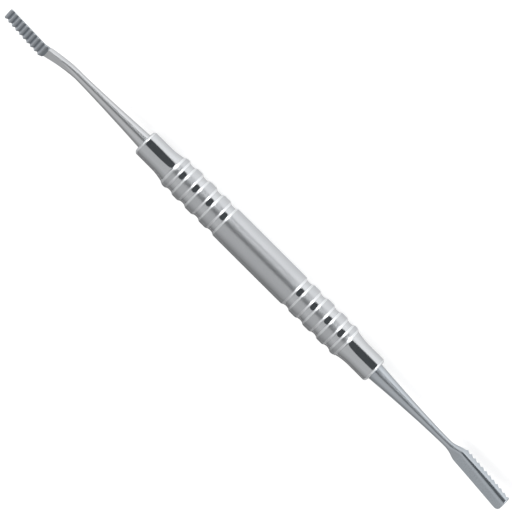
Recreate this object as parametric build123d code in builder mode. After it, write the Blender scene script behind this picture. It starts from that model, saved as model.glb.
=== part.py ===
from build123d import *
import os
from math import atan2, copysign, cos, hypot, pi, sin

# Double-ended bone file in stainless steel, in millimetres.
# X runs along the handle, from its middle towards the narrow file. Z is up.
# The narrow file cuts on its upper face and the broad file on its lower face.

# Handle: a turned bar, the same towards both ends
handle_diameter = 9.5
grip_length = 25.3            # plain middle, between the two inner grooves
groove_count = 4              # on each side of the plain middle
groove_width = 2.4
groove_floor_width = 1.0      # between the groove's two sloping walls
groove_depth = 0.44
groove_pitch = 5.05
last_groove_pitch = 4.7       # the outermost groove stands a little closer
end_band_width = 0.55         # full diameter left outside the outermost groove
shoulder_length = 1.4         # rounded fall from full diameter to the flare
flare_length = 4.2
flare_diameter = 8.56         # where the flare meets the rounded shoulder
collar_length = 6.0
collar_diameter = 7.5
collar_edge_radius = 0.9
bore_diameter = 4.0

# Tangs, pressed into the bore until the shank seats on the collar's end
tang_length = 14.0
tang_clearance = 0.01         # all round
tang_chamfer = 0.4

# Narrow file. Heights are measured from the handle's axis to the working side
narrow_root_diameter = 4.38
narrow_taper_power = 1.32     # 1 is a straight cone, more is a hollower taper
narrow_waist_diameter = 2.35
narrow_shank_length = 24.0    # collar's end to waist
narrow_bend_length = 9.9      # waist to the file's heel
narrow_neck_width = 2.8       # at the heel, before the facet is ground
narrow_neck_thickness = 2.1
narrow_neck_squareness = 3.0  # at the heel: 2 is an ellipse, and higher has steeper sides
narrow_neck_height = 2.05     # middle of the neck at the heel
narrow_bend_power = 1.8       # 1 is a straight slope, more bends up more towards the heel
narrow_widening_power = 3.4
narrow_facet_share = 0.3      # where the facet starts, from waist to heel
narrow_facet_hollow = 0.12    # how far the facet is hollowed below a straight line, midway
narrow_file_length = 14.4
narrow_heel_width = 4.05
narrow_tip_width = 3.65
narrow_heel_height = 3.28     # tooth tips at the heel
narrow_tip_height = 2.25      # tooth tips at the tip
narrow_crown = 0.12           # how far the face stands above a straight line, midway
narrow_heel_thickness = 1.75
narrow_tip_thickness = 1.45
narrow_heel_corner = 0.7
narrow_tip_corner = 0.5
narrow_tooth_count = 10
narrow_tooth_depth = 0.5
narrow_tooth_lean = 0.5       # share of the pitch taken by the flank on the tip side
narrow_tip_land = 0.38        # tip face to the first tooth
narrow_heel_land = 0.67       # last tooth root to the heel

# Broad file
broad_root_diameter = 4.9
broad_taper_power = 1.45
broad_waist_diameter = 2.14
broad_shank_length = 25.5     # collar's end to waist
broad_flare_length = 5.3      # waist to the blade's full width
broad_blade_length = 16.9
broad_heel_width = 4.05
broad_middle_width = 4.15
broad_tip_width = 4.1
broad_heel_height = 1.38      # tooth tips at the heel
broad_tip_height = -0.55      # tooth tips at the tip
broad_crown = 0.08
broad_heel_thickness = 2.0
broad_middle_thickness = 2.22
broad_tip_thickness = 2.5
broad_tip_corner = 1.2
broad_tooth_count = 12
broad_tooth_depth = 0.5
broad_tooth_lean = 0.68
broad_tip_land = 0.5
broad_heel_land = 0.1
broad_back_edge_radius = 0.25
broad_heel_corner = 0.3
broad_flare_bend_power = 2.0
broad_flare_swell_power = 1.6  # higher keeps the flare slim for longer
broad_flare_inset = 0.04      # the flare ends this far inside the blade's own edges
broad_flare_squareness = 6.0  # 2 is an ellipse, and higher comes nearer to a rectangle

tooth_land = 0.1              # flat left on each tooth tip
facet_step = 0.06             # the facet lies this far below the tooth roots
cutter_overrun = 1.0          # how far the milled stretch passes the heel
run_out_share = 0.2           # a neck runs on into its head by this share of its length
run_out_width_share = 0.7     # and ends there in this share of its width and thickness
run_out_thickness_share = 0.5
shank_shares = (0, 0.5, 1)
neck_shares = (0, 0.25, 0.5, 0.75, 1)
hidden_share = 0.9            # a neck starts inside its shank in this share of the waist's diameter
neck_inset = 0.04             # a neck leaves the shank's end this far inside the waist's edge
blank_overrun_share = 0.05    # the half-round blank is first this much longer at both ends
turned_chords = 2             # straight cuts that stand for each turned arc
section_points = 16           # points on each lofted section

# Places along the handle, worked out from its features in turn
first_groove = grip_length / 2 + groove_width / 2
groove_stations = [first_groove + index * groove_pitch for index in range(groove_count - 1)]
groove_stations.append(groove_stations[-1] + last_groove_pitch)
crest_station = groove_stations[-1] + groove_width / 2 + end_band_width
seam_station = crest_station + shoulder_length
flare_station = seam_station + flare_length
handle_end = flare_station + collar_length


def toward(side, station, height, lean):
    # Plane square to an end's centreline. side is 1 for the narrow end and -1 for the broad end,
    # station is the distance from the handle's middle, and y points to the end's working side.
    return Plane(
        origin=(side * station, 0, side * height),
        x_dir=(0, 1, 0),
        z_dir=(side * cos(lean), 0, side * sin(lean)),
    )


def side_view(side):
    # Plane of the lengthwise section: x outwards along that end, y to its working side
    return Plane(origin=(0, 0, 0), x_dir=(side, 0, 0), z_dir=(0, -1, 0))


def eased(start, end, share, power=1.0):
    return start + (end - start) * share ** power


def squared_oval(width, thickness, squareness):
    # Closed curve |x / a| ^ n + |y / b| ^ n = 1: an ellipse at n = 2, nearer to a rectangle above it
    points = []
    for step in range(section_points):
        turn = 2 * pi * step / section_points
        points.append((
            width / 2 * copysign(abs(cos(turn)) ** (2 / squareness), cos(turn)),
            thickness / 2 * copysign(abs(sin(turn)) ** (2 / squareness), sin(turn)),
        ))
    return points


def placed(side, sections):
    # Each section on its plane, leaning with the centreline that the heights describe
    last = len(sections) - 1
    faces = []
    for index, (station, height, *shape) in enumerate(sections):
        before, after = sections[max(index - 1, 0)], sections[min(index + 1, last)]
        lean = atan2(after[1] - before[1], after[0] - before[0]) if 0 < index < last else 0
        with BuildSketch(toward(side, station, height, lean)) as section:
            with BuildLine():
                Spline(*squared_oval(*shape), periodic=True)
            make_face()
        faces.append(section.sketch)
    return faces


def turned_arc(level_end, free_end):
    # Chords of the arc that leaves its level end along the axis and reaches its free end
    run, rise = free_end[0] - level_end[0], free_end[1] - level_end[1]
    radius = hypot(run, rise) ** 2 / (2 * abs(rise))
    sweep = 2 * atan2(abs(rise), abs(run))
    points = []
    for step in range(turned_chords + 1):
        turn = sweep * step / turned_chords
        points.append((
            level_end[0] + copysign(radius * sin(turn), run),
            level_end[1] + copysign(radius * (1 - cos(turn)), rise),
        ))
    return points


def shank_profile(side, root, waist, length, power):
    # Half outline of the tang and the shank that tapers from the collar's end to the waist
    tang_radius = bore_diameter / 2 - tang_clearance
    tang_end = handle_end - tang_length
    points = [(tang_end, 0), (tang_end, tang_radius - tang_chamfer), (tang_end + tang_chamfer, tang_radius)]
    points.append((handle_end, tang_radius))
    for share in shank_shares:
        points.append((handle_end + length * share, eased(waist, root, 1 - share, power) / 2))
    # A short straight end, from which the neck comes out a little inside the edge
    shank_end = handle_end + length + neck_inset
    points += [(shank_end, waist / 2), (shank_end, 0)]
    with BuildSketch(side_view(side)) as profile:
        with BuildLine():
            Polyline(*points, close=True)
        make_face()
    return profile.sketch


def hidden_start(start, length, waist, shape):
    # The section that a neck starts from, inside the shank's end
    return (start - length * run_out_share, 0, waist * hidden_share, waist * hidden_share, shape)


def face_height(station, heel, length, heel_height, tip_height, crown):
    # Slightly bowed line of the tooth tips, seen from the side
    share = (station - heel) / length
    return eased(heel_height, tip_height, share) + crown * 4 * share * (1 - share)


def tooth_line(tip, length, count, depth, lean, tip_land, heel_land, height_at):
    # Corners of the toothed face from the tip inwards, as (station, height)
    pitch = (length - tip_land - heel_land) / (count - lean)
    points = [(tip, height_at(tip - tip_land))]
    for index in range(count):
        crest = tip - tip_land - index * pitch
        root = crest - pitch * (1 - lean)
        points.append((crest + tooth_land / 2, height_at(crest)))
        points.append((crest - tooth_land / 2, height_at(crest)))
        points.append((root, height_at(root) - depth))
    return points


def above_teeth(side, points, ceiling):
    # Lengthwise section of all that is milled away on the working side of the toothed line
    inner = points[-1][0]
    outer = points[0][0] + ceiling
    with BuildSketch(side_view(side)) as milled:
        with BuildLine():
            Polyline(
                (outer, points[0][1]),
                *points,
                (inner, ceiling),
                (outer, ceiling),
                close=True,
            )
        make_face()
    return milled.sketch


# Handle: half outline, from the middle outwards
handle_radius = handle_diameter / 2
groove_corners = []
for station in groove_stations:
    groove_corners += [
        (station - groove_width / 2, handle_radius),
        (station - groove_floor_width / 2, handle_radius - groove_depth),
        (station + groove_floor_width / 2, handle_radius - groove_depth),
        (station + groove_width / 2, handle_radius),
    ]
seam = (seam_station, flare_diameter / 2)
shoulder = turned_arc((crest_station, handle_radius), seam)
flare = turned_arc((flare_station, collar_diameter / 2), seam)[-2::-1]
collar_edge = turned_arc(
    (handle_end - collar_edge_radius, collar_diameter / 2),
    (handle_end, collar_diameter / 2 - collar_edge_radius),
)

with BuildPart() as handle:
    with BuildSketch(Plane.XZ):
        with BuildLine():
            Polyline(
                (0, bore_diameter / 2),
                (0, handle_radius),
                *groove_corners,
                *shoulder,
                *flare,
                *collar_edge,
                (handle_end, bore_diameter / 2),
                close=True,
            )
        make_face()
        mirror(about=Plane.YZ)
    revolve(axis=Axis.X)

# Narrow file: half-round head, then the neck and shank that carry it, then the tang
narrow_heel = handle_end + narrow_shank_length + narrow_bend_length
narrow_tip = narrow_heel + narrow_file_length


def narrow_face(station):
    return face_height(
        station, narrow_heel, narrow_file_length, narrow_heel_height, narrow_tip_height, narrow_crown
    )


narrow_neck_start = narrow_waist_diameter - 2 * neck_inset


def neck_section(share):
    # From the round waist to the wide oval at the heel
    return (
        handle_end + narrow_shank_length + narrow_bend_length * share,
        eased(0, narrow_neck_height, share, narrow_bend_power),
        eased(narrow_neck_start, narrow_neck_width, share, narrow_widening_power),
        eased(narrow_neck_start, narrow_neck_thickness, share),
        eased(2, narrow_neck_squareness, share),
    )


narrow_waist = handle_end + narrow_shank_length
narrow_neck_sections = [hidden_start(narrow_waist, narrow_bend_length, narrow_waist_diameter, 2)]
narrow_neck_sections += [neck_section(share) for share in neck_shares]
# The neck runs out inside the head, well within it on every side
narrow_neck_end = narrow_heel + narrow_bend_length * run_out_share
narrow_neck_sections.append((
    narrow_neck_end,
    narrow_neck_height,
    narrow_neck_width * run_out_width_share,
    narrow_neck_thickness * run_out_thickness_share,
    2,
))
narrow_root_height = narrow_heel_height - narrow_tooth_depth
facet_station, facet_centre, _, facet_thickness, _ = neck_section(narrow_facet_share)
facet_start = (facet_station, facet_centre + facet_thickness / 2)
facet_end = (narrow_heel, narrow_root_height - facet_step)
facet_middle = (
    (facet_start[0] + facet_end[0]) / 2,
    (facet_start[1] + facet_end[1]) / 2 - narrow_facet_hollow,
)
narrow_ceiling = 2 * narrow_heel_height

# Shank and neck of the narrow end, with a facet ground on the working side
with BuildPart() as narrow_neck:
    # Straight between the sections, which keeps the facets few
    loft(placed(1, narrow_neck_sections), ruled=True)
    with BuildSketch(side_view(1)):
        with BuildLine():
            ThreePointArc(facet_start, facet_middle, facet_end)
            Polyline(
                facet_end,
                (narrow_neck_end, facet_end[1] - facet_step),
                (narrow_neck_end, narrow_ceiling),
                (facet_start[0], narrow_ceiling),
                facet_start,
            )
        make_face()
    extrude(amount=narrow_heel_width, both=True, mode=Mode.SUBTRACT)
    revolve(shank_profile(
        1, narrow_root_diameter, narrow_waist_diameter, narrow_shank_length, narrow_taper_power
    ), axis=Axis.X)


def half_round_radius(width, thickness):
    # Radius of the arc through both corners of the flat and the middle of the back
    return (width ** 2 / 4 + thickness ** 2) / (2 * thickness)


# The half-round blank is the lower part of a slim cone, given by its back line and its centreline
blank_back, blank_centre = [], []
for share in (-blank_overrun_share, 1 + blank_overrun_share):
    station = narrow_heel + narrow_file_length * share
    back_height = eased(
        narrow_heel_height - narrow_heel_thickness, narrow_tip_height - narrow_tip_thickness, share
    )
    radius = eased(
        half_round_radius(narrow_heel_width, narrow_heel_thickness),
        half_round_radius(narrow_tip_width, narrow_tip_thickness),
        share,
    )
    blank_back.append((station, back_height))
    blank_centre.append((station, back_height + radius))
blank_start, blank_end = [Vector(station, 0, height) for station, height in blank_centre]

with BuildPart() as narrow_file:
    with BuildSketch(side_view(1)):
        with BuildLine():
            Polyline(*blank_back, *reversed(blank_centre), close=True)
        make_face()
    revolve(axis=Axis(blank_start, blank_end - blank_start))
    with BuildSketch(Plane.XY) as plan:
        with BuildLine():
            Polyline(
                (narrow_heel, -narrow_heel_width / 2),
                (narrow_heel, narrow_heel_width / 2),
                (narrow_tip, narrow_tip_width / 2),
                (narrow_tip, -narrow_tip_width / 2),
                close=True,
            )
        make_face()
        fillet(plan.vertices().group_by(Axis.X)[0], narrow_heel_corner)
        fillet(plan.vertices().group_by(Axis.X)[-1], narrow_tip_corner)
    extrude(amount=narrow_ceiling, mode=Mode.INTERSECT)
    narrow_teeth = tooth_line(
        narrow_tip,
        narrow_file_length,
        narrow_tooth_count,
        narrow_tooth_depth,
        narrow_tooth_lean,
        narrow_tip_land,
        narrow_heel_land,
        narrow_face,
    )
    # Past the last tooth the heel is cut down level with the roots
    narrow_teeth.append((narrow_heel - cutter_overrun, narrow_teeth[-1][1]))
    narrow_milled = above_teeth(1, narrow_teeth, narrow_ceiling)
    extrude(narrow_milled, amount=narrow_heel_width, both=True, mode=Mode.SUBTRACT)
    add(narrow_neck.part)

# Broad file: a flat blade with square working edges, then the flared shank and the tang
broad_heel = handle_end + broad_shank_length + broad_flare_length
broad_tip = broad_heel + broad_blade_length


def broad_face(station):
    return face_height(
        station, broad_heel, broad_blade_length, broad_heel_height, broad_tip_height, broad_crown
    )


broad_teeth = tooth_line(
    broad_tip,
    broad_blade_length,
    broad_tooth_count,
    broad_tooth_depth,
    broad_tooth_lean,
    broad_tip_land,
    broad_heel_land,
    broad_face,
)
broad_middle = (broad_heel + broad_tip) / 2
broad_back_heel = (broad_heel, broad_heel_height - broad_heel_thickness)
broad_back_middle = (broad_middle, broad_face(broad_middle) - broad_middle_thickness)
broad_back_tip = (broad_tip, broad_tip_height - broad_tip_thickness)

# The flare ends as a squared bar between the tooth roots and the back, and runs out inside the blade
broad_flare_height = broad_heel_height - broad_heel_thickness / 2 - broad_tooth_depth / 2
broad_flare_width = broad_heel_width - 2 * broad_flare_inset
broad_flare_thickness = broad_heel_thickness - broad_tooth_depth - 2 * broad_flare_inset
broad_waist = handle_end + broad_shank_length
broad_flare_start = broad_waist_diameter - 2 * neck_inset
broad_flare_sections = [hidden_start(broad_waist, broad_flare_length, broad_waist_diameter, 2)]
for share in neck_shares:
    grown = share ** broad_flare_swell_power
    swell = grown * grown * (3 - 2 * grown)
    broad_flare_sections.append((
        handle_end + broad_shank_length + broad_flare_length * share,
        eased(0, broad_flare_height, share, broad_flare_bend_power),
        eased(broad_flare_start, broad_flare_width, swell),
        eased(broad_flare_start, broad_flare_thickness, swell),
        eased(2, broad_flare_squareness, swell),
    ))
broad_flare_sections.append((
    broad_heel + broad_flare_length * run_out_share, *broad_flare_sections[-1][1:]
))

with BuildPart() as broad_file:
    with BuildSketch(side_view(-1)):
        with BuildLine():
            Polyline(broad_back_tip, *broad_teeth, broad_back_heel)
            ThreePointArc(broad_back_heel, broad_back_middle, broad_back_tip)
        make_face()
    extrude(amount=broad_heel_width, both=True)
    with BuildSketch(Plane.XY.offset(-broad_heel_width)) as plan:
        with BuildLine():
            Spline(
                (-broad_heel, broad_heel_width / 2),
                (-broad_middle, broad_middle_width / 2),
                (-broad_tip, broad_tip_width / 2),
            )
            Polyline(
                (-broad_tip, broad_tip_width / 2),
                (-broad_tip, 0),
                (-broad_heel, 0),
                (-broad_heel, broad_heel_width / 2),
            )
        make_face()
        mirror(about=Plane.XZ)
        fillet(plan.vertices().group_by(Axis.X)[0], broad_tip_corner)
        fillet(plan.vertices().group_by(Axis.X)[-1], broad_heel_corner)
    extrude(amount=2 * broad_heel_width, mode=Mode.INTERSECT)
    back = broad_file.faces().sort_by(Axis.Z)[-1]
    fillet(back.edges(), broad_back_edge_radius)
    loft(placed(-1, broad_flare_sections), ruled=True)
    revolve(shank_profile(
        -1, broad_root_diameter, broad_waist_diameter, broad_shank_length, broad_taper_power
    ), axis=Axis.X)

handle.part.label = "handle"
narrow_file.part.label = "narrow_file"
broad_file.part.label = "broad_file"
os.makedirs("parts", exist_ok=True)
export_step(handle.part, "parts/handle.step")
export_step(narrow_file.part, "parts/narrow_file.step")
export_step(broad_file.part, "parts/broad_file.step")
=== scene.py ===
import math
import bpy
import numpy as np
from mathutils import Matrix, Vector


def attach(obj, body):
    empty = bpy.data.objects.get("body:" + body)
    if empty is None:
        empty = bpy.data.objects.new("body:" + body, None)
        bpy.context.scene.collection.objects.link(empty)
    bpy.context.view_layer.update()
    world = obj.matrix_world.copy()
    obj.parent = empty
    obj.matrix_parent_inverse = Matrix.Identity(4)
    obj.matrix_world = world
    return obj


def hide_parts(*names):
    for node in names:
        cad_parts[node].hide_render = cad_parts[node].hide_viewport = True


# A double-ended bone file on a pale table under studio light.
# Sizes are in millimetres until a mesh is made. X runs along the handle to the narrow file, and Z is up.

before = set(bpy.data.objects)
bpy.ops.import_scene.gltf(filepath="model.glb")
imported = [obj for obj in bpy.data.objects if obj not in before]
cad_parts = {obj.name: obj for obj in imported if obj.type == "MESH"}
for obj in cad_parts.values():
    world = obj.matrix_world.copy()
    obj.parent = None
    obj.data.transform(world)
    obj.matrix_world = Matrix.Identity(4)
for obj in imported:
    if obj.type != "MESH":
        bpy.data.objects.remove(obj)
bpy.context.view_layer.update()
print("frame loaded")

millimetre = 0.001  # in Blender's metres
sharpAngle = 38.0  # degrees between two faces, above which their edge stays sharp


def smoothStep(value):
    # 0 below 0, 1 above 1, and 3v^2 - 2v^3 between
    value = np.clip(value, 0.0, 1.0)
    return value * value * (3.0 - 2.0 * value)


def softMin(first, second, width):
    # The lower of two curves, with their crossing rounded over about this width
    return 0.5 * (first + second - np.sqrt((first - second) ** 2 + width ** 2))


def softMax(first, second, width):
    # The higher of two curves, with their crossing rounded over about this width
    return -softMin(-first, -second, width)


def blend(first, second, share):
    # The first value at share 0, the second at share 1, and a straight line between
    return first + (second - first) * share


def linearColor(hexText):
    # sRGB hex to the linear values that the shaders take
    channels = [int(hexText[i:i + 2], 16) / 255 for i in (1, 3, 5)]
    return [c / 12.92 if c <= 0.04045 else ((c + 0.055) / 1.055) ** 2.4 for c in channels] + [1.0]


def ringMesh(name, rings, finish, materials, looped=False, paintedShade=None):
    # rings[i, j] is point j of section i. Neighbouring sections are joined by quads. The first and last
    # section are closed on their middle, or joined to each other when the shape is looped. paintedShade is a
    # value for each point that darkens the ground steel: painted shade in the tooth roots.
    count, around = rings.shape[:2]
    here = np.arange(count if looped else count - 1)
    after = (here + 1) % count
    near = np.arange(around)
    beside = (near + 1) % around
    quads = np.stack([
        here[:, None] * around + near,
        here[:, None] * around + beside,
        after[:, None] * around + beside,
        after[:, None] * around + near,
    ], axis=-1).reshape(-1, 4)
    points = rings.reshape(-1, 3)
    faces = quads
    triangles = np.zeros((0, 3), int)
    if not looped:
        points = np.concatenate([points, rings[0].mean(0)[None], rings[-1].mean(0)[None]])
        start = count * around
        last = (count - 1) * around
        triangles = np.concatenate([
            np.stack([np.full(around, start), beside, near], axis=-1),
            np.stack([np.full(around, start + 1), last + near, last + beside], axis=-1),
        ])
    corners = points[quads]
    volume = np.einsum("ij,ij->i", corners[:, 0], np.cross(corners[:, 1], corners[:, 2])).sum()
    volume += np.einsum("ij,ij->i", corners[:, 0], np.cross(corners[:, 2], corners[:, 3])).sum()
    if volume < 0:
        faces = quads[:, ::-1]
        triangles = triangles[:, ::-1]
    mesh = bpy.data.meshes.new(name)
    mesh.from_pydata((points * millimetre).tolist(), [], faces.tolist() + triangles.tolist())
    slots = np.concatenate([finish.reshape(-1), np.full(len(triangles), finish.reshape(-1)[-1])])
    for material in materials:
        mesh.materials.append(material)
    mesh.polygons.foreach_set("material_index", slots.astype(np.int32))
    if paintedShade is not None:
        values = np.zeros(len(points), np.float32)
        values[:paintedShade.size] = paintedShade.reshape(-1)
        mesh.attributes.new("paintedShade", "FLOAT", "POINT").data.foreach_set("value", values)
    mesh.shade_smooth()
    mesh.set_sharp_from_angle(angle=math.radians(sharpAngle))
    mesh.update()
    piece = bpy.data.objects.new(name, mesh)
    bpy.context.scene.collection.objects.link(piece)
    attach(piece, "root")
    return piece


# Camera: elevation 50 degrees, the handle rolled across the picture from top left to bottom right.
# Directions are in the object's axes, distance and pictureWidth in metres, and originPixel is the place of
# the handle's middle in the picture.
cameraPlan = {
    "right": (-0.7085, -0.5405, -0.4536),
    "up": (0.7056, -0.5427, -0.4554),
    "toward": (0.0, -0.6428, 0.7660),
    "distance": 1.4,
    "pictureWidth": 0.13213,
    "imagePixels": 512,
    "originPixel": (259.74, 256.34),
    "sensor": 36.0,
}
pixelSize = cameraPlan["pictureWidth"] / cameraPlan["imagePixels"]
right, up, toward = (Vector(cameraPlan[key]).normalized() for key in ("right", "up", "toward"))
middle = cameraPlan["imagePixels"] / 2
target = right * (middle - cameraPlan["originPixel"][0]) * pixelSize
target += up * (cameraPlan["originPixel"][1] - middle) * pixelSize
cameraData = bpy.data.cameras.new("camera")
cameraData.sensor_width = cameraPlan["sensor"]
cameraData.lens = cameraPlan["sensor"] * cameraPlan["distance"] / cameraPlan["pictureWidth"]
cameraData.clip_start = 0.01
cameraData.clip_end = 50
camera = bpy.data.objects.new("camera", cameraData)
turn = Matrix((right, up, toward)).transposed().to_4x4()
camera.matrix_world = Matrix.Translation(target + toward * cameraPlan["distance"]) @ turn
bpy.context.scene.collection.objects.link(camera)
bpy.context.scene.camera = camera
print("camera set")


def newMaterial(name):
    # An empty node material
    material = bpy.data.materials.new(name)
    material.use_nodes = True
    material.node_tree.nodes.clear()
    return material


def addNode(tree, kind, settings=None, inputs=None):
    # Adds a node, gives it its settings, and sets or links its inputs by name or number
    node = tree.nodes.new(kind)
    for key, value in (settings or {}).items():
        setattr(node, key, value)
    for key, value in (inputs or {}).items():
        if isinstance(value, bpy.types.NodeSocket):
            tree.links.new(value, node.inputs[key])
        else:
            node.inputs[key].default_value = value
    return node


def steelMaterial(name, plan):
    # Stainless steel: a metal whose colour hardly varies, with the marks of its last working step. The marks
    # are noise with a grain of the plan's size in millimetres along each axis, longer where a tool drew it
    # out. Real scratches of a few hundredths would not show, so no grain is finer than 0.06 mm.
    material = newMaterial(name)
    tree = material.node_tree
    place = addNode(tree, "ShaderNodeTexCoord").outputs["Object"]
    grain = addNode(tree, "ShaderNodeMapping", {"vector_type": "POINT"}, {
        "Vector": place,
        "Scale": [1 / millimetre / size for size in plan["grain"]],
    })
    marks = addNode(tree, "ShaderNodeTexNoise", {"noise_dimensions": "3D"}, {
        "Vector": grain.outputs["Vector"], "Scale": 1.0, "Detail": 3.0, "Roughness": 0.6,
    })
    cloud = addNode(tree, "ShaderNodeTexNoise", {"noise_dimensions": "3D"}, {
        "Vector": place, "Scale": 1 / millimetre / plan["cloud"], "Detail": 2.0, "Roughness": 0.5,
    })
    tone = addNode(tree, "ShaderNodeMix", {"data_type": "RGBA"}, {
        0: cloud.outputs["Fac"], 6: linearColor(plan["dark"]), 7: linearColor(plan["light"]),
    })
    if "paintedRootShade" in plan:
        # Painted shade in the tooth roots, from the mesh's own paintedShade values
        paintedShade = addNode(tree, "ShaderNodeAttribute", {"attribute_name": "paintedShade"})
        tone = addNode(tree, "ShaderNodeMix", {"data_type": "RGBA"}, {
            0: paintedShade.outputs["Fac"], 6: tone.outputs[2], 7: linearColor(plan["paintedRootShade"]),
        })
    # The noise keeps to about 0.3 to 0.7
    gloss = addNode(tree, "ShaderNodeMapRange", None, {
        "Value": marks.outputs["Fac"],
        "From Min": 0.3,
        "From Max": 0.7,
        "To Min": plan["roughness"] - plan["roughnessSpread"],
        "To Max": plan["roughness"] + plan["roughnessSpread"],
    })
    relief = addNode(tree, "ShaderNodeBump", None, {
        "Strength": plan["bump"],
        "Distance": plan["bumpHeight"] * millimetre,
        "Height": marks.outputs["Fac"],
    })
    along = addNode(tree, "ShaderNodeCombineXYZ", None, {"X": 1.0})
    shader = addNode(tree, "ShaderNodeBsdfPrincipled", None, {
        "Base Color": tone.outputs[2],
        "Metallic": 1.0,
        "Roughness": gloss.outputs["Result"],
        "Anisotropic": plan["stretch"],
        "Tangent": along.outputs["Vector"],
        "Normal": relief.outputs["Normal"],
    })
    addNode(tree, "ShaderNodeOutputMaterial", None, {"Surface": shader.outputs["BSDF"]})
    return material


# Bead-blasted then brushed grip: dull, nearly neutral, a fine all-over grain
blastedSteel = steelMaterial("blastedStainlessSteel", {
    "dark": "#CBCED1", "light": "#D5D7DA", "roughness": 0.42, "roughnessSpread": 0.04, "stretch": 0.9,
    "grain": (0.1, 0.16, 0.16), "cloud": 6.0, "bump": 0.15, "bumpHeight": 0.003,
})
# Turned and polished grooves and collars: mirror-like, with faint rings left by the tool
turnedSteel = steelMaterial("polishedTurnedSteel", {
    "dark": "#CBCED1", "light": "#D5D7DA", "roughness": 0.1, "roughnessSpread": 0.03, "stretch": 0.0,
    "grain": (0.07, 6.0, 6.0), "cloud": 8.0, "bump": 0.03, "bumpHeight": 0.001,
})
# Groove walls, seam and collar rims: faced and rougher, with a lighter colour that is a painted highlight
highlightFacedSteel = steelMaterial("paintedHighlightFacedSteel", {
    "dark": "#E4E7EA", "light": "#EDEFF1", "roughness": 0.32, "roughnessSpread": 0.04, "stretch": 0.0,
    "grain": (0.07, 3.0, 3.0), "cloud": 6.0, "bump": 0.05, "bumpHeight": 0.001,
})
# Forged and polished shanks: bright, drawn out lengthwise by the polishing wheel
forgedPlan = {
    "dark": "#D4D6D9", "light": "#DEE0E2", "roughness": 0.34, "roughnessSpread": 0.012, "stretch": 0.85,
    "grain": (5.0, 0.12, 0.12), "cloud": 5.0, "bump": 0.012, "bumpHeight": 0.002,
}
forgedSteel = steelMaterial("polishedForgedSteel", forgedPlan)
# The broad shank's copy of the forged steel, a little bluer and darker
darkerForgedSteel = steelMaterial("bluerDarkerForgedSteel", {**forgedPlan, "dark": "#BFC6CD", "light": "#CBD0D5"})
# Hardened head ground across: bluish and duller, with grinding lines along Y, and a dark colour for painted
# shade in the tooth roots
groundSteel = steelMaterial("groundHardenedSteel", {
    "dark": "#BFC5CC", "light": "#CDD3D9", "paintedRootShade": "#6A7077",
    "roughness": 0.3, "roughnessSpread": 0.05, "stretch": 0.0,
    "grain": (0.06, 2.0, 0.06), "cloud": 3.0, "bump": 0.3, "bumpHeight": 0.004,
})
# Smooth backs of the narrow head and the broad blade: satin, bluish, brushed lengthwise
satinSteel = steelMaterial("satinBrushedSteel", {
    "dark": "#BEC6CD", "light": "#C8CED4", "roughness": 0.29, "roughnessSpread": 0.04, "stretch": 0.0,
    "grain": (4.0, 0.08, 0.08), "cloud": 4.0, "bump": 0.08, "bumpHeight": 0.003,
})
print("materials made")

# Handle: a turned bar, the same towards both ends. Places along it are counted from its middle.
handlePlan = {
    "diameter": 9.5,
    "boreDiameter": 4.0,
    "grooves": (13.85, 18.9, 23.95, 28.65),
    "grooveHalfWidth": 1.3,
    "grooveDepth": 0.47,
    "grooveFloorRadius": 2.9,
    "grooveWallSlope": 0.85,
    "grooveFloorSoftness": 0.1,
    "grooveLipSoftness": 0.16,
    "grooveReach": 2.2,  # beyond this from its centre a groove changes nothing
    "polishedHalfWidth": 1.2,
    "satinEnd": 31.15,
    "highlightSlope": 0.37,  # steeper parts of the outline get the faced finish, whose lighter colour is a painted highlight
    "crest": 30.4,
    "seam": 31.8,
    "seamDiameter": 8.56,
    "seamSoftness": 0.05,
    "collarStart": 36.0,
    "collarDiameter": 7.5,
    "collarEdge": 0.9,
    "end": 42.0,
    "mouthChamfer": 0.1,
    # Stretches of the outline, each with its number of points
    "gripStretch": (0.0, 12.0, 6),
    "grooveStretch": (-1.75, 1.75, 43),
    "flareStretch": (30.38, 36.0, 44),
    "collarPlainStart": 36.5,
    "collarPoints": 6,
    "edgePoints": 12,
    "around": 144,
}


def handleRadius(station):
    # Radius of the turned outline: the full radius, less each groove, whose floor is a shallow arc between
    # straight walls. Beyond the crest the higher of the shoulder's arc and the flare's arc, then the collar.
    plan = handlePlan
    full = plan["diameter"] / 2
    radius = np.full_like(station, full)
    for centre in plan["grooves"]:
        offset = np.abs(station - centre)
        floor = full - plan["grooveDepth"] + offset ** 2 / (2 * plan["grooveFloorRadius"])
        wall = full - (plan["grooveHalfWidth"] - offset) * plan["grooveWallSlope"]
        cut = softMax(floor, wall, plan["grooveFloorSoftness"])
        cut = softMin(full, cut, plan["grooveLipSoftness"])
        radius = np.where(offset < plan["grooveReach"], cut, radius)
    seamRadius = plan["seamDiameter"] / 2
    collarRadius = plan["collarDiameter"] / 2
    run, fall = plan["seam"] - plan["crest"], full - seamRadius
    bend = (run ** 2 + fall ** 2) / (2 * fall)
    past = np.clip(station - plan["crest"], 0, bend)
    shoulder = full - bend + np.sqrt(bend ** 2 - past ** 2)
    run, fall = plan["collarStart"] - plan["seam"], seamRadius - collarRadius
    bend = (run ** 2 + fall ** 2) / (2 * fall)
    before = np.clip(plan["collarStart"] - station, 0, bend)
    flare = collarRadius + bend - np.sqrt(bend ** 2 - before ** 2)
    outer = softMax(shoulder, flare, plan["seamSoftness"])
    return np.where(station > plan["crest"], np.minimum(outer, full), radius)


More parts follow.
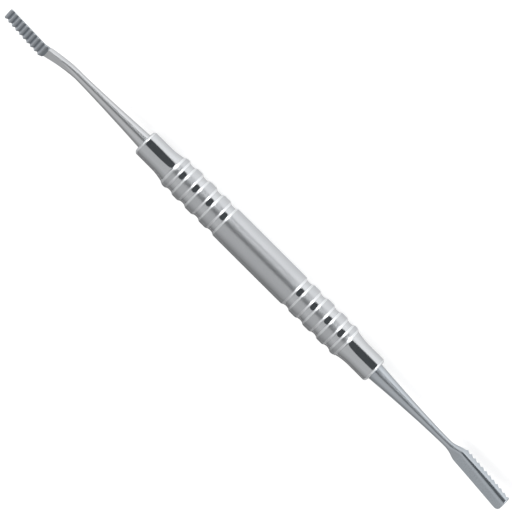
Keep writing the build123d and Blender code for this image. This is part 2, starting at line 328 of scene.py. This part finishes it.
def handleOutline():
    # Half outline from the middle to the bore's mouth, closer spaced where it bends. The collar's rim is a
    # quarter circle and the mouth a small chamfer.
    plan = handlePlan
    edgeStart = plan["end"] - plan["collarEdge"]
    stations = [np.linspace(*plan["gripStretch"])]
    for centre in plan["grooves"]:
        stations.append(centre + np.linspace(*plan["grooveStretch"]))
    stations.append(np.linspace(*plan["flareStretch"]))
    stations.append(np.linspace(plan["collarPlainStart"], edgeStart, plan["collarPoints"]))
    stations = np.concatenate(stations)
    radii = handleRadius(stations)
    turn = np.linspace(0, np.pi / 2, plan["edgePoints"])[1:]
    edgeX = edgeStart + plan["collarEdge"] * np.sin(turn)
    edgeR = plan["collarDiameter"] / 2 - plan["collarEdge"] * (1 - np.cos(turn))
    bore, chamfer = plan["boreDiameter"] / 2, plan["mouthChamfer"]
    stations = np.concatenate([stations, edgeX, [plan["end"], plan["end"] - chamfer]])
    radii = np.concatenate([radii, edgeR, [bore + chamfer, bore]])
    return stations, radii


def makeHandle():
    # The outline and its mirror image, turned about X as a closed loop with the bore as its inner side
    plan = handlePlan
    halfX, halfR = handleOutline()
    stations = np.concatenate([-halfX[:0:-1], halfX])
    radii = np.concatenate([halfR[:0:-1], halfR])
    turn = np.linspace(0, 2 * np.pi, plan["around"], endpoint=False)
    rings = np.stack([
        np.repeat(stations[:, None], plan["around"], 1),
        radii[:, None] * np.cos(turn),
        radii[:, None] * np.sin(turn),
    ], axis=-1)
    between = np.abs((stations + np.roll(stations, -1)) / 2)
    polished = between > plan["satinEnd"]
    for centre in plan["grooves"]:
        polished |= np.abs(between - centre) < plan["polishedHalfWidth"]
    run = np.abs(np.roll(stations, -1) - stations)
    fall = np.abs(np.roll(radii, -1) - radii)
    outside = radii > plan["boreDiameter"] / 2 + 2 * plan["mouthChamfer"]
    # Steep faces take the faced finish, whose lighter colour is a painted highlight
    facedHighlight = (fall > plan["highlightSlope"] * run) & outside
    kinds = np.where(facedHighlight, 2, polished.astype(int))
    finish = np.repeat(kinds[:, None], plan["around"], 1)
    piece = ringMesh("handleTurned", rings, finish, [blastedSteel, turnedSteel, highlightFacedSteel], looped=True)
    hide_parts("handle")
    return piece


makeHandle()
print("handle turned")

# Narrow file. Stations are counted from the handle's middle and heights from its axis. Pairs run from the
# heel to the tip.
narrowPlan = {
    "tangStart": 28.0,
    "tangRadius": 1.99,
    "tangChamfer": 0.4,
    "tangStep": 0.01,
    "shankStart": 42.0,
    "rootDiameter": 4.38,
    "waistDiameter": 2.35,
    "taperPower": 1.32,
    "shankLength": 24.0,
    "bendLength": 9.9,
    "neckWidth": 2.8,
    "neckThickness": 2.1,
    "neckSquareness": 4.4,  # 2 is an ellipse, and higher comes nearer to a rectangle
    "neckHeight": 2.05,
    "bendPower": 1.8,
    "wideningPower": 3.4,
    "facetStart": 0.3,
    "facetHollow": 0.12,
    "headLength": 14.4,
    "headWidth": (4.05, 3.65),
    "headHeight": (3.28, 2.25),
    "crown": 0.12,
    "headThickness": (1.75, 1.45),
    "tipCorner": 0.5,
    "toothCount": 10,
    "toothDepth": 0.5,
    "tipLand": 0.38,
    "heelLand": 0.67,
    "heelRise": 0.16,  # of the heel's edge above the last tooth root
    "toothLean": 0.5,  # share of the pitch taken by the flank on the tip side
    "toothLand": 0.09,
    # Painted shade in the tooth roots: its strength, and how fast it grows with depth
    "rootShade": 0.7,
    "shadePower": 1.6,
    "heelShade": 0.6,  # length of the painted dark stretch of shade at the heel
    "facetLevel": 2.72,  # where the facet meets the head
    "uncutLevel": 9.0,  # well above the neck, so that nothing is ground away there
    "cutLimits": (-0.9, 0.978),  # the flat stays this far inside the oval, as shares of its half height
    "shoulderLength": 0.65,
    "edgeRounds": 2,
    "headFinishStart": 0.05,  # past the heel
    "tipCaps": ((0.012, 0.97), (0.018, 0.93), (0.02, 0.88)),  # how far out, and how much of the end's size
    "tangTurn": 0.2,
    "sectionCounts": (40, 80, 330),  # on the shank, the neck and the head
    "joinGap": 0.3,  # last section of the shank to the first of the neck
    "arcPoints": 84,
    "topPoints": 44,
}


def taperedShank(stations, plan):
    # Diameter between root and waist: waist + (root - waist) * (1 - share) ^ power
    share = np.clip((stations - plan["shankStart"]) / plan["shankLength"], 0, 1)
    swell = (plan["rootDiameter"] - plan["waistDiameter"]) * (1 - share) ** plan["taperPower"]
    return plan["waistDiameter"] + swell


def tangRings(plan, turn):
    # The hidden tang: chamfered end, straight pin, then a short step out to the shank's root
    start, radius, chamfer = plan["tangStart"], plan["tangRadius"], plan["tangChamfer"]
    stations = np.array([start, start + chamfer, plan["shankStart"] - plan["tangStep"]])
    radii = np.array([radius - chamfer, radius, radius])
    return np.stack([
        np.repeat(stations[:, None], len(turn), 1),
        radii[:, None] * np.cos(turn),
        radii[:, None] * np.sin(turn),
    ], axis=-1)


def toothHeights(stations, tip, length, plan, heights, rootRise=0.0):
    # Straight flanks between crests and roots that lie on the bowed face line and toothDepth below it, then
    # rounded by a running mean over a bell-shaped window. Returns the heights, and how deep each lies between
    # crest (0) and root (1).
    heel = tip - length
    lean, count = plan["toothLean"], plan["toothCount"]
    pitch = (length - plan["tipLand"] - plan["heelLand"]) / (count - lean)
    crests = tip - plan["tipLand"] - pitch * np.arange(count)
    roots = crests - pitch * (1 - lean)

    def face(x):
        # Line of the crests: straight from heel to tip, plus the crown times 4s(1 - s)
        share = (x - heel) / length
        return blend(heights[0], heights[1], share) + plan["crown"] * 4 * share * (1 - share)

    land = plan["toothLand"]
    step, margin, window = 0.01, 0.5, 5
    cornerX = np.concatenate([[tip], crests + land / 2, crests - land / 2, roots, [heel - step]])
    cornerZ = np.concatenate([
        [face(crests[0])],
        face(crests),
        face(crests),
        face(roots) - plan["toothDepth"],
        [face(roots[-1]) - plan["toothDepth"] + rootRise],
    ])
    order = np.argsort(cornerX)
    fine = np.arange(heel - margin, tip + margin, step)
    line = np.interp(fine, cornerX[order], cornerZ[order])
    kernel = np.hanning(2 * window + 1)
    line = np.convolve(np.pad(line, window, mode="edge"), kernel / kernel.sum(), mode="valid")
    level = np.interp(stations, fine, line)
    return level, np.clip((face(stations) - level) / plan["toothDepth"], 0, 1)


def cutRound(stations, halfWidth, halfDepth, centre, cut, squareness, plan):
    # Oval |y / a|^n + |z / b|^n = 1 about (0, centre), cut off flat at the height cut. The first points run
    # round the uncut arc from one corner of the flat to the other, and the rest go back across the flat.
    level = np.clip((cut - centre) / halfDepth, *plan["cutLimits"])
    power = (2 / squareness)[:, None]
    corner = np.arcsin(np.sign(level) * np.abs(level) ** (squareness / 2))
    share = np.linspace(0, 1, plan["arcPoints"])
    angle = corner[:, None] + (-np.pi - 2 * corner[:, None]) * share
    wide, deep, middle = halfWidth[:, None], halfDepth[:, None], centre[:, None]
    arcY = wide * np.sign(np.cos(angle)) * np.abs(np.cos(angle)) ** power
    arcZ = middle + deep * np.sign(np.sin(angle)) * np.abs(np.sin(angle)) ** power
    across = np.linspace(0, 1, plan["topPoints"] + 2)[1:-1]
    flatY = blend(arcY[:, -1:], arcY[:, :1], across)
    bulge = np.clip(1 - np.abs(flatY / wide) ** squareness[:, None], 0, 1) ** (power / 2)
    flatZ = np.minimum(middle + deep * bulge, np.maximum(cut, arcZ[:, 0])[:, None])
    flatZ = np.where(cut[:, None] < middle, cut[:, None], flatZ)
    y = np.concatenate([arcY, flatY], axis=1)
    z = np.concatenate([arcZ, flatZ], axis=1)
    return np.stack([np.repeat(stations[:, None], y.shape[1], 1), y, z], axis=-1)


def softenEdges(rings, plan):
    # Rounds the two long edges of the flat: each point beside them goes halfway to the mean of its neighbours
    count = plan["arcPoints"]
    out = rings.copy()
    for _ in range(plan["edgeRounds"]):
        mean = (np.roll(out, 1, axis=1) + np.roll(out, -1, axis=1)) / 2
        for edge in (0, count - 1):
            for step in (-1, 0, 1):
                j = (edge + step) % out.shape[1]
                out[:, j] = blend(out[:, j], mean[:, j], 0.5)
    return out


def makeNarrowFile():
    # One row of sections from the tang to the tip, each an oval cut off flat at the facet or the teeth
    plan = narrowPlan
    waist = plan["shankStart"] + plan["shankLength"]
    heel = waist + plan["bendLength"]
    tip = heel + plan["headLength"]
    onShank, onNeck, onHead = plan["sectionCounts"]
    stations = np.concatenate([
        np.linspace(plan["shankStart"], waist - plan["joinGap"], onShank),
        np.linspace(waist, heel, onNeck),
        np.linspace(heel, tip - plan["tipCaps"][-1][0], onHead)[1:],
    ])
    # Neck: from the round waist to the wide oval at the heel, bending up as it goes
    share = np.clip((stations - waist) / plan["bendLength"], 0, 1)
    rise = plan["neckHeight"] * share ** plan["bendPower"]
    slope = plan["neckHeight"] * plan["bendPower"] * share ** (plan["bendPower"] - 1) / plan["bendLength"]
    shankDiameter = taperedShank(stations, plan)
    widening = (plan["neckWidth"] - plan["waistDiameter"]) * share ** plan["wideningPower"]
    neckHalfWidth = (shankDiameter + widening) / 2
    neckHalfDepth = (shankDiameter + (plan["neckThickness"] - plan["waistDiameter"]) * share) / 2
    neckHalfDepth = neckHalfDepth * np.sqrt(1 + slope ** 2)
    # Facet: a hollow line from the neck's top down to the head's heel
    startShare = plan["facetStart"]
    startX = waist + plan["bendLength"] * startShare
    startZ = plan["neckHeight"] * startShare ** plan["bendPower"]
    startZ += blend(plan["waistDiameter"], plan["neckThickness"], startShare) / 2
    along = (stations - startX) / (heel - startX)
    facet = blend(startZ, plan["facetLevel"], along) - plan["facetHollow"] * 4 * along * (1 - along)
    facet = np.where(along < 0, plan["uncutLevel"], facet)
    # Head: a half-round bar, narrower and thinner towards the tip
    headShare = np.clip((stations - heel) / plan["headLength"], 0, 1)
    width = blend(*plan["headWidth"], headShare)
    thickness = blend(*plan["headThickness"], headShare)
    crest = blend(*plan["headHeight"], headShare)
    arcRadius = (width ** 2 / 4 + thickness ** 2) / (2 * thickness)
    arcCentre = crest - thickness + arcRadius
    teeth, depth = toothHeights(
        stations, tip, plan["headLength"], plan, plan["headHeight"], plan["heelRise"]
    )
    # The neck grows into the head over the shoulder, and its lower side a little later
    grown = smoothStep((stations - heel) / plan["shoulderLength"])
    deeper = smoothStep((stations - heel) / (3 * plan["shoulderLength"]))
    bottom = blend(rise - neckHalfDepth, arcCentre - arcRadius, deeper)
    halfWidth = blend(neckHalfWidth, arcRadius, grown)
    halfDepth = blend(neckHalfDepth, arcRadius, grown)
    centre = bottom + halfDepth
    cut = np.where(stations > heel, teeth, facet)
    rounded = smoothStep((stations - heel + plan["shoulderLength"] / 2) / plan["shoulderLength"])
    squareness = blend(2 + (plan["neckSquareness"] - 2) * share, 2.0, rounded)
    rings = cutRound(stations, halfWidth, halfDepth, centre, cut, squareness, plan)
    # Plan corners at the tip
    inner = np.clip(stations - (tip - plan["tipCorner"]), 0, plan["tipCorner"])
    narrowing = plan["tipCorner"] - np.sqrt(plan["tipCorner"] ** 2 - inner ** 2)
    rings[:, :, 1] *= (1 - narrowing / (width / 2))[:, None]
    rings = softenEdges(rings, plan)
    # The tip's own edge is rounded by a few shrinking sections
    end = rings[-1]
    core = end.mean(0)
    caps = []
    for outward, size in plan["tipCaps"]:
        ring = core + (end - core) * size
        ring[:, 0] = end[:, 0] + outward
        caps.append(ring)
    firstTurn = np.pi / 2 - plan["tangTurn"]
    turn = np.linspace(firstTurn, firstTurn - 2 * np.pi, rings.shape[1], endpoint=False)
    tang = tangRings(plan, turn)
    rings = np.concatenate([tang, rings, np.stack(caps)])
    # Finish of each face, and the painted shade of each point on the flat, deeper towards the tooth roots
    finish = np.zeros((len(rings) - 1, rings.shape[1]), int)
    between = (rings[:-1, 0, 0] + rings[1:, 0, 0]) / 2
    onFlat = np.arange(rings.shape[1]) >= plan["arcPoints"] - 1
    paintedRootShade = np.where(stations > heel, depth ** plan["shadePower"] * plan["rootShade"], 0)
    # A painted dark stretch of shade just past the heel
    atHeel = (stations > heel) & (stations < heel + plan["heelShade"])
    paintedRootShade = np.where(atHeel, np.maximum(paintedRootShade, plan["rootShade"]), paintedRootShade)
    paintedRootShade = np.concatenate([np.zeros(len(tang)), paintedRootShade, np.zeros(len(caps))])[:, None] * onFlat
    isHead = between > heel + plan["headFinishStart"]
    finish[isHead[:, None] & onFlat[None, :]] = 1
    finish[isHead[:, None] & ~onFlat[None, :]] = 2
    materials = [forgedSteel, groundSteel, satinSteel]
    piece = ringMesh("narrowFileGround", rings, finish, materials, paintedShade=paintedRootShade)
    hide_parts("narrow_file")
    return piece


makeNarrowFile()
print("narrow file ground")

# Broad file. Heights are counted towards its own working side. Three values in a row are for the heel, the
# middle and the tip.
broadPlan = {
    "tangStart": 28.0,
    "tangRadius": 1.99,
    "tangChamfer": 0.4,
    "tangStep": 0.01,
    "shankStart": 42.0,
    "rootDiameter": 4.9,
    "waistDiameter": 2.14,
    "taperPower": 1.45,
    "shankLength": 25.5,
    "flareLength": 5.3,
    "swellPower": 1.6,
    "bladeLength": 16.9,
    "bladeWidth": (3.97, 4.07, 4.04),
    "bladeHeight": (1.7, -0.48),
    "crown": 0.08,
    "bladeThickness": (2.67, 2.6, 2.55),
    "nearCorner": 0.55,
    "farCorner": 1.45,
    "toothCount": 12,
    "toothDepth": 0.66,
    "tipLand": 0.5,
    "heelLand": 0.1,
    "toothLean": 0.68,
    "toothLand": 0.09,
    # Painted shade in the tooth roots: its strength, and how fast it grows with depth
    "rootShade": 0.85,
    "shadePower": 1.6,
    "nearEdge": (0.9, 1.4, 1.6),
    "farEdge": 0.3,
    "backRim": 0.35,
    "workingEdge": 0.05,
    "cornerShare": 0.9999,  # of a plan corner's arc, so that the last section keeps a width
    "fullest": 0.985,  # share of a side that its two corner radii may take up
    "bladeFinishStart": -0.2,  # a little before the heel
    "sectionCounts": (40, 60, 380, 14),  # on the shank, the flare, the blade and its last stretch
    "joinGap": 0.4,  # last section of the shank to the first of the flare
    "lastStretch": 0.4,
    "cornerPoints": 14,
    "sidePoints": 5,
}


def roundedBar(stations, halfWidth, low, high, farRadius, nearRadius, highRadius, plan):
    # Rectangle with rounded corners, from the left of its upper side and round. When the radii reach half
    # its size it is a circle. Each corner is an arc and each side a row of even steps.
    height = high - low
    fullest = plan["fullest"]
    most = np.minimum(halfWidth, height / 2) * fullest
    farRadius = np.minimum(farRadius, most)
    highRadius = np.minimum(highRadius, most)
    nearRadius = np.minimum(nearRadius, height * fullest - highRadius)
    nearRadius = np.minimum(nearRadius, halfWidth * 2 * fullest - farRadius)
    corners = (
        (halfWidth - highRadius, high - highRadius, highRadius, np.pi / 2),
        (halfWidth - farRadius, low + farRadius, farRadius, 0.0),
        (-halfWidth + nearRadius, low + nearRadius, nearRadius, -np.pi / 2),
        (-halfWidth + highRadius, high - highRadius, highRadius, -np.pi),
    )
    arcs = []
    share = np.linspace(0, np.pi / 2, plan["cornerPoints"])
    for y, z, radius, start in corners:
        arcs.append((
            y[:, None] + radius[:, None] * np.cos(start - share),
            z[:, None] + radius[:, None] * np.sin(start - share),
        ))
    steps = np.linspace(0, 1, plan["sidePoints"] + 2)[1:-1]
    rowsY, rowsZ = [], []
    for index, (arcY, arcZ) in enumerate(arcs):
        nextY, nextZ = arcs[(index + 1) % 4]
        rowsY += [arcY, blend(arcY[:, -1:], nextY[:, :1], steps)]
        rowsZ += [arcZ, blend(arcZ[:, -1:], nextZ[:, :1], steps)]
    y = np.concatenate(rowsY, axis=1)
    z = np.concatenate(rowsZ, axis=1)
    return np.stack([np.repeat(stations[:, None], y.shape[1], 1), y, z], axis=-1)


def bowed(start, middle, end, share):
    # Parabola through three even points
    linear, square = 4 * middle - 3 * start - end, 2 * start + 2 * end - 4 * middle
    return start + share * linear + share ** 2 * square


def makeBroadFile():
    # Worked out with stations counted outwards and the working side up, then turned to the other end
    plan = broadPlan
    waist = plan["shankStart"] + plan["shankLength"]
    heel = waist + plan["flareLength"]
    tip = heel + plan["bladeLength"]
    onShank, onFlare, onBlade, atTip = plan["sectionCounts"]
    last = plan["lastStretch"]
    stations = np.concatenate([
        np.linspace(plan["shankStart"], waist - plan["joinGap"], onShank),
        np.linspace(waist, heel, onFlare),
        np.linspace(heel, tip - last, onBlade)[1:],
        tip - last + last * np.sin(np.linspace(0, np.pi / 2, atTip)[1:]),
    ])
    share = np.clip((stations - waist) / plan["flareLength"], 0, 1)
    grown = smoothStep(share ** plan["swellPower"])
    bladeShare = np.clip((stations - heel) / plan["bladeLength"], 0, 1)
    diameter = taperedShank(stations, plan)
    width = blend(diameter, bowed(*plan["bladeWidth"], bladeShare), grown)
    teeth, depth = toothHeights(stations, tip, plan["bladeLength"], plan, plan["bladeHeight"])
    heelHeight, tipHeight = plan["bladeHeight"]
    heights = (heelHeight, (heelHeight + tipHeight) / 2 + plan["crown"], tipHeight)
    back = bowed(*(height - thick for height, thick in zip(heights, plan["bladeThickness"])), bladeShare)
    rootAtHeel = heelHeight - plan["toothDepth"]
    high = np.where(stations > heel, teeth, blend(diameter / 2, rootAtHeel, grown))
    low = np.where(stations > heel, back, blend(-diameter / 2, back[0], grown))
    # Plan corners at the tip, tighter on the camera's side, and the back's edge carried round them
    narrowing = []
    for corner in (plan["nearCorner"], plan["farCorner"]):
        inner = np.clip(stations - (tip - corner), 0, corner * plan["cornerShare"])
        narrowing.append(corner - np.sqrt(corner ** 2 - inner ** 2))
    edge = bowed(*plan["nearEdge"], bladeShare)
    rim = plan["backRim"]
    inset = np.clip(stations - (tip - rim), 0, rim)
    low = low + rim - np.sqrt(rim ** 2 - inset ** 2)
    halfWidth = (width - narrowing[0] - narrowing[1]) / 2
    nearRadius = blend(diameter / 2, edge, grown)
    farRadius = blend(diameter / 2, plan["farEdge"], grown)
    workingRadius = blend(diameter / 2, plan["workingEdge"], grown)
    rings = roundedBar(stations, halfWidth, low, high, farRadius, nearRadius, workingRadius, plan)
    rings[:, :, 1] += (narrowing[0] - narrowing[1])[:, None] / 2
    turn = np.linspace(np.pi / 2, np.pi / 2 - 2 * np.pi, rings.shape[1], endpoint=False)
    tang = tangRings(plan, turn)
    rings = np.concatenate([tang, rings])
    # Finish of each face, and the painted shade of each point on the working side, deeper towards the tooth
    # roots
    finish = np.zeros((len(rings) - 1, rings.shape[1]), int)
    between = (rings[:-1, 0, 0] + rings[1:, 0, 0]) / 2
    block = plan["cornerPoints"] + plan["sidePoints"]
    column = np.arange(rings.shape[1])
    workingSide = column >= 3 * block + plan["cornerPoints"] - 1
    paintedRootShade = np.where(stations > heel, depth ** plan["shadePower"] * plan["rootShade"], 0)
    paintedRootShade = np.concatenate([np.zeros(len(tang)), paintedRootShade])[:, None] * workingSide
    isBlade = between > heel + plan["bladeFinishStart"]
    finish[isBlade[:, None] & workingSide[None, :]] = 1
    finish[isBlade[:, None] & ~workingSide[None, :]] = 2
    rings = rings * np.array([-1.0, 1.0, -1.0])
    materials = [darkerForgedSteel, groundSteel, satinSteel]
    piece = ringMesh("broadFileGround", rings, finish, materials, paintedShade=paintedRootShade)
    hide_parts("broad_file")
    return piece


makeBroadFile()
print("broad file ground")

# Table, studio cards and light. Lengths are in millimetres, but the lamp's are in metres. Stops are pairs of
# a place and a brightness: for the graded card the place is in millimetres behind the handle, and for the
# walls it is the angle that makeWorld counts. Beyond the first of two shares a view counts as sideways, and
# beyond the second wholly so.
stagePlan = {
    "tableLevel": -4.8,
    "tableHalf": 2500.0,
    "tableColor": "#E6E6E6",
    "tableGlow": 0.53,
    "cardRadius": 340.0,
    "cardHalfLength": 262.0,
    "cardAngles": (0.0, 61.0),
    "cardCorners": (0.3, 0.45),  # below and above its middle: 0.5 is an oval, and 0 a rectangle
    "cardColor": "#E4ECF2",
    "cardGlow": 0.1,
    "cardPoints": (96, 16),
    "shadeLift": 0.02,
    "shadeHalfLength": 115.0,
    "shadeStops": (
        (-330, 0.1), (-90, 0.1), (-82, 1.14), (-12, 1.14), (-6, 0.95), (-2.5, 0.66), (5, 0.24), (300, 0.2),
    ),
    "besideReach": (43.0, 47.0),
    "besideGlow": 0.5,
    "nearStops": ((0, 1.05), (46, 1.05), (56, 0.62), (112, 0.63), (145, 0.44), (170, 0.25), (180, 0.22)),
    "lowFlankStops": (
        (0, 5.6), (10, 5.0), (20, 3.0), (32, 1.2), (42, 0.3), (50, 0.1), (62, 0.1), (68, 0.45), (100, 0.58),
    ),
    "farRightStops": ((140, 0.48), (165, 0.3), (180, 0.2)),
    "farLeftStops": ((140, 0.66), (165, 0.6), (180, 0.45)),
    "sideStops": ((0, 1.5), (84, 1.4), (102, 1.1), (125, 0.72), (150, 0.46), (170, 0.32), (180, 0.28)),
    "flankShares": (0.54, 0.6),
    "sideShares": (0.84, 0.9),
    "horizonSoftness": 0.01,
    "floorGlow": 1.0,
    "lampPlace": (0.05, 0.12, 0.55),
    "lampWatts": 0.5,
    "lampSize": (0.5, 0.35),
}


def stageMesh(name, points, faces, material):
    # A mesh of the studio, which isn't part of the object
    mesh = bpy.data.meshes.new(name)
    mesh.from_pydata((np.asarray(points) * millimetre).tolist(), [], np.asarray(faces).tolist())
    mesh.materials.append(material)
    piece = bpy.data.objects.new(name, mesh)
    bpy.context.scene.collection.objects.link(piece)
    return piece


def onlyInGloss(piece):
    # Studio cards show in reflections alone
    piece.visible_camera = False
    piece.visible_diffuse = False
    piece.visible_shadow = False
    piece.visible_transmission = False


def grayRamp(tree, value, stops, low, high):
    # Gray levels along a value that runs from low to high, set by (value, level) stops
    share = addNode(tree, "ShaderNodeMapRange", None, {
        "Value": value, "From Min": low, "From Max": high, "To Min": 0.0, "To Max": 1.0,
    })
    ramp = addNode(tree, "ShaderNodeValToRGB", None, {0: share.outputs["Result"]})
    elements = ramp.color_ramp.elements
    while len(elements) < len(stops):
        elements.new(0.5)
    for element, (place, level) in zip(elements, stops):
        element.position = (place - low) / (high - low)
        element.color = (level, level, level, 1.0)
    return ramp.outputs["Color"]


def tableMaterial():
    # White paper. Seen by the camera or in a reflection it glows a little, so that it stays white, and the
    # shadow on it stays because only part of its brightness is glow.
    material = newMaterial("whiteTablePaper")
    tree = material.node_tree
    rays = addNode(tree, "ShaderNodeLightPath")
    seen = addNode(tree, "ShaderNodeMath", {"operation": "MAXIMUM"}, {
        0: rays.outputs["Is Camera Ray"], 1: rays.outputs["Is Glossy Ray"],
    })
    seen = addNode(tree, "ShaderNodeMath", {"operation": "MAXIMUM"}, {
        0: seen.outputs[0], 1: rays.outputs["Is Transmission Ray"],
    })
    paper = addNode(tree, "ShaderNodeBsdfDiffuse", None, {"Color": linearColor(stagePlan["tableColor"])})
    glow = addNode(tree, "ShaderNodeEmission", None, {
        "Color": (1.0, 1.0, 1.0, 1.0), "Strength": stagePlan["tableGlow"],
    })
    both = addNode(tree, "ShaderNodeAddShader", None, {0: paper.outputs[0], 1: glow.outputs[0]})
    mixed = addNode(tree, "ShaderNodeMixShader", None, {
        0: seen.outputs[0], 1: paper.outputs[0], 2: both.outputs[0],
    })
    addNode(tree, "ShaderNodeOutputMaterial", None, {"Surface": mixed.outputs[0]})
    return material


def cardMaterial():
    # Black card beside the camera, which gives polished steel its dark stripes
    material = newMaterial("blackStudioCard")
    tree = material.node_tree
    glow = addNode(tree, "ShaderNodeEmission", None, {
        "Color": linearColor(stagePlan["cardColor"]), "Strength": stagePlan["cardGlow"],
    })
    addNode(tree, "ShaderNodeOutputMaterial", None, {"Surface": glow.outputs[0]})
    return material


def shadeMaterial():
    # Card on the table under the object, graded from front to back: dark far in front, white close in front,
    # darker under the handle as a painted shadow of the object, and dark behind it. Past both ends of the
    # handle it is nowhere very dark.
    plan = stagePlan
    material = newMaterial("gradedStudioCard")
    tree = material.node_tree
    place = addNode(tree, "ShaderNodeTexCoord").outputs["Object"]
    axes = addNode(tree, "ShaderNodeSeparateXYZ", None, {0: place})
    behind = addNode(tree, "ShaderNodeMath", {"operation": "MULTIPLY"}, {
        0: axes.outputs["Y"], 1: 1 / millimetre,
    })
    stops = plan["shadeStops"]
    color = grayRamp(tree, behind.outputs[0], stops, stops[0][0], stops[-1][0])
    sideways = addNode(tree, "ShaderNodeMath", {"operation": "ABSOLUTE"}, {0: axes.outputs["X"]})
    beside = addNode(tree, "ShaderNodeMapRange", None, {
        "Value": sideways.outputs[0],
        "From Min": plan["besideReach"][0] * millimetre,
        "From Max": plan["besideReach"][1] * millimetre,
        "To Min": 0.0,
        "To Max": plan["besideGlow"],
    })
    lighter = addNode(tree, "ShaderNodeMath", {"operation": "MAXIMUM"}, {
        0: color, 1: beside.outputs["Result"],
    })
    glow = addNode(tree, "ShaderNodeEmission", None, {"Color": lighter.outputs[0], "Strength": 1.0})
    addNode(tree, "ShaderNodeOutputMaterial", None, {"Surface": glow.outputs[0]})
    return material


def makeStage():
    # A square table, the graded card just above it, the black card and one soft lamp
    plan = stagePlan
    half = plan["tableHalf"]
    level = plan["tableLevel"]
    stageMesh(
        "table",
        [(-half, -half, level), (half, -half, level), (half, half, level), (-half, half, level)],
        [(0, 1, 2, 3)],
        tableMaterial(),
    )
    reach = plan["shadeHalfLength"]
    front, back = plan["shadeStops"][0][0], plan["shadeStops"][-1][0]
    level += plan["shadeLift"]
    shade = stageMesh(
        "gradedCard",
        [(-reach, front, level), (reach, front, level), (reach, back, level), (-reach, back, level)],
        [(0, 1, 2, 3)],
        shadeMaterial(),
    )
    onlyInGloss(shade)
    # The black card is a patch of a cylinder about X. Its outline is a squared oval in length and angle.
    columns, rows = plan["cardPoints"]
    across = np.linspace(0, 2 * np.pi, columns, endpoint=False)
    power = 2 * np.where(np.sin(across) < 0, *plan["cardCorners"])
    length = plan["cardHalfLength"] * np.sign(np.cos(across)) * np.abs(np.cos(across)) ** power
    lowAngle, highAngle = np.radians(plan["cardAngles"])
    centreAngle = (lowAngle + highAngle) / 2
    rise = (highAngle - lowAngle) / 2 * np.sign(np.sin(across)) * np.abs(np.sin(across)) ** power
    shares = np.linspace(0, 1, rows)[:, None]
    lengths = shares * length
    angles = centreAngle + shares * rise
    points = np.stack([
        lengths,
        -plan["cardRadius"] * np.cos(angles),
        plan["cardRadius"] * np.sin(angles),
    ], axis=-1)
    here = np.arange(rows - 1)[:, None] * columns
    near = np.arange(columns)
    beside = (near + 1) % columns
    faces = np.stack([
        here + near,
        here + beside,
        here + columns + beside,
        here + columns + near,
    ], axis=-1).reshape(-1, 4)
    onlyInGloss(stageMesh("blackCard", points.reshape(-1, 3), faces, cardMaterial()))
    lampData = bpy.data.lights.new("softBox", "AREA")
    lampData.shape = "RECTANGLE"
    lampData.size, lampData.size_y = plan["lampSize"]
    lampData.energy = plan["lampWatts"]
    lamp = bpy.data.objects.new("softBox", lampData)
    lamp.location = plan["lampPlace"]
    lamp.rotation_euler = (Vector((0, 0, 0)) - lamp.location).to_track_quat("-Z", "Y").to_euler()
    lamp.visible_glossy = False
    bpy.context.scene.collection.objects.link(lamp)


def makeWorld():
    # A studio dome. The angle in degrees is counted from the horizon on the camera's side, over the top, to
    # the far horizon: a white wall, then a dimmer ceiling and a darker far wall. Flanks stand to the left and
    # right of that middle, very bright low down, and the left one (towards +X) has a lighter far wall. The
    # two sides, past the ends of the object, are bright again. Below the horizon it is white.
    plan = stagePlan
    world = bpy.data.worlds.new("studioDome")
    bpy.context.scene.world = world
    world.use_nodes = True
    tree = world.node_tree
    tree.nodes.clear()
    direction = addNode(tree, "ShaderNodeTexCoord").outputs["Generated"]
    axes = addNode(tree, "ShaderNodeSeparateXYZ", None, {0: direction})
    nearer = addNode(tree, "ShaderNodeMath", {"operation": "MULTIPLY"}, {0: axes.outputs["Y"], 1: -1.0})
    angle = addNode(tree, "ShaderNodeMath", {"operation": "ARCTAN2"}, {
        0: axes.outputs["Z"], 1: nearer.outputs[0],
    })
    degrees = addNode(tree, "ShaderNodeMath", {"operation": "DEGREES"}, {0: angle.outputs[0]})
    sideways = addNode(tree, "ShaderNodeMath", {"operation": "ABSOLUTE"}, {0: axes.outputs["X"]})
    walls = grayRamp(tree, degrees.outputs[0], plan["nearStops"], 0, 180)
    low = plan["lowFlankStops"]
    for stops, shares, across in (
        (low + plan["farRightStops"], plan["flankShares"], sideways.outputs[0]),
        (low + plan["farLeftStops"], plan["flankShares"], axes.outputs["X"]),
        (plan["sideStops"], plan["sideShares"], sideways.outputs[0]),
    ):
        share = addNode(tree, "ShaderNodeMapRange", None, {
            "Value": across, "From Min": shares[0], "From Max": shares[1], "To Min": 0.0, "To Max": 1.0,
        })
        further = grayRamp(tree, degrees.outputs[0], stops, 0, 180)
        mixed = addNode(tree, "ShaderNodeMix", {"data_type": "RGBA"}, {
            0: share.outputs["Result"], 6: walls, 7: further,
        })
        walls = mixed.outputs[2]
    above = addNode(tree, "ShaderNodeMapRange", None, {
        "Value": axes.outputs["Z"],
        "From Min": -plan["horizonSoftness"],
        "From Max": 0.0,
        "To Min": 0.0,
        "To Max": 1.0,
    })
    color = addNode(tree, "ShaderNodeMix", {"data_type": "RGBA"}, {
        0: above.outputs["Result"], 6: (plan["floorGlow"],) * 3 + (1.0,), 7: walls,
    })
    background = addNode(tree, "ShaderNodeBackground", None, {"Color": color.outputs[2], "Strength": 1.0})
    addNode(tree, "ShaderNodeOutputWorld", None, {"Surface": background.outputs[0]})


makeStage()
makeWorld()
bpy.context.scene.view_settings.view_transform = "Standard"
print("studio set")
